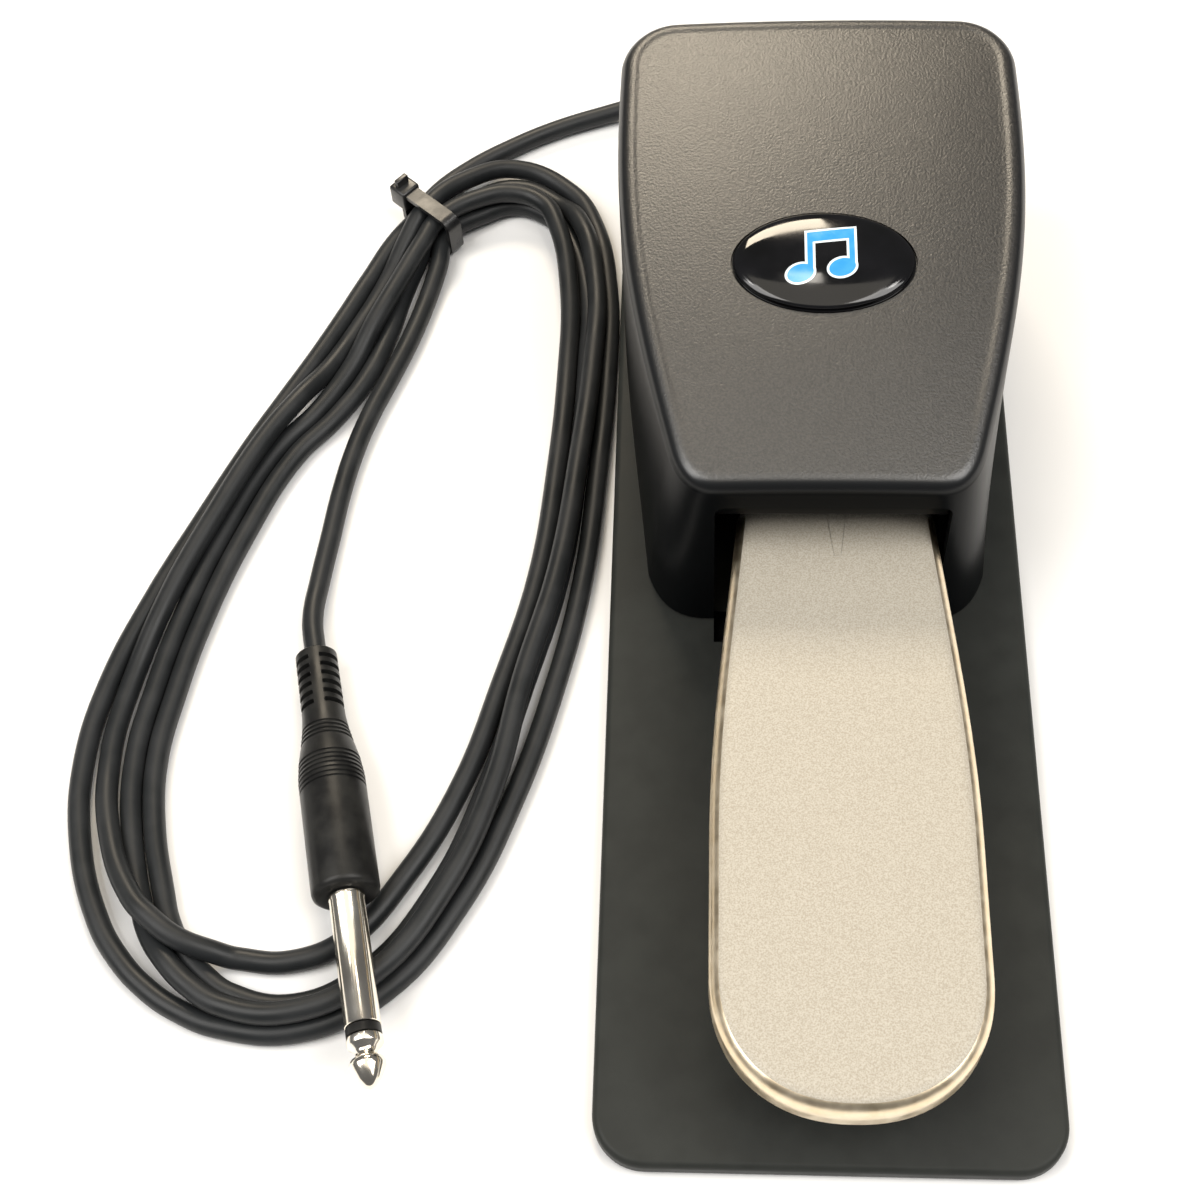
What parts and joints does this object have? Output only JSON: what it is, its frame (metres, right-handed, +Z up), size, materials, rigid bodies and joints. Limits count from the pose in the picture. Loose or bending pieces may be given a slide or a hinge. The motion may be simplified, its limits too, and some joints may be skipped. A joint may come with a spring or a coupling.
{
  "type": "sustain pedal",
  "caption": "Piano-style sustain pedal: nickel lever hinged in a black moulded housing on a flat base, with a microswitch, coiled cord and quarter-inch plug.",
  "frame": {"origin": "middle of the base plate, on the floor that the rubber mat stands on", "axes": "+X to the player's right, +Y to the back where the cord leaves, +Z up"},
  "size_m": [0.1817, 0.2482, 0.0595],
  "materials": {
    "housing_plastic": "fine-grained black ABS, satin",
    "base_plastic": "dark grey satin plastic",
    "rubber": "matt black rubber",
    "badge_gloss": "gloss black domed resin",
    "pad_nickel": "warm satin nickel plate with a fine sparkle",
    "nickel": "bright nickel plate",
    "steel": "zinc-plated steel",
    "spring_steel": "bright spring steel",
    "brass": "plain brass",
    "black_pvc": "black satin PVC",
    "nylon": "black nylon",
    "red_pvc": "red plastic",
    "white_pvc": "white plastic"
  },
  "bodies": {
    "base": {"rubber_mat": "rubber", "base_plate": "base_plastic", "housing_shell": "housing_plastic", "badge_plate": "badge_gloss", "badge_dome": "badge_gloss", "pivot_bracket": "steel", "pivot_pin": "steel", "pin_clip_right": "steel", "pin_clip_left": "steel", "spring_seat": "base_plastic", "return_spring": "spring_steel", "rest_stop": "rubber", "down_stop": "rubber", "switch_body": "housing_plastic", "switch_bracket": "steel", "switch_terminal_1": "brass", "switch_terminal_2": "brass", "switch_terminal_3": "brass", "wire_signal": "red_pvc", "wire_ground": "white_pvc", "strain_relief": "black_pvc", "cord_inner": "black_pvc", "cord_clamp": "base_plastic", "base_screw_1": "steel", "base_screw_2": "steel", "base_screw_3": "steel", "base_screw_4": "steel", "base_screw_5": "steel", "base_screw_6": "steel", "bracket_screw_1": "steel", "bracket_screw_2": "steel", "bracket_screw_3": "steel", "bracket_screw_4": "steel", "flange_screw_1": "steel", "flange_screw_2": "steel", "clamp_screw_1": "steel", "clamp_screw_2": "steel", "switch_screw_1": "steel", "switch_screw_2": "steel", "cord_lead": "black_pvc", "cord_coil": "black_pvc", "cord_tail": "black_pvc", "cable_tie": "nylon", "plug_handle": "black_pvc", "plug_sleeve": "nickel", "plug_insulator": "black_pvc", "plug_tip": "nickel"},
    "pedal": {"pedal_lever": "pad_nickel", "actuator_finger": "housing_plastic", "spring_cap": "base_plastic", "bushing_right": "brass", "bushing_left": "brass"},
    "leaf": {"switch_leaf": "spring_steel"},
    "button": {"switch_button": "red_pvc"}
  },
  "joints": [
    {"name": "pedal_press", "type": "hinge", "parent": "base", "child": "pedal", "pos_m": [0.0026, 0.066, 0.022], "axis": [1, 0, 0], "range_deg": [0, 6], "stiffness_Nm_per_rad": 8, "springref_deg": -6.88, "deforming": ["return_spring"]},
    {"name": "leaf_press", "type": "hinge", "parent": "base", "child": "leaf", "pos_m": [0.0026, 0.057, 0.0181], "axis": [1, 0, 0], "range_deg": [0, 10.8]},
    {"name": "button_press", "type": "slide", "parent": "base", "child": "button", "axis": [0, 0, -1], "range_m": [0, 0.00125]}
  ],
  "couplings": [
    {"joint": "leaf_press", "follows": "pedal_press", "ratio": 1.77},
    {"joint": "button_press", "follows": "pedal_press", "m_per_rad": 0.0115}
  ]
}
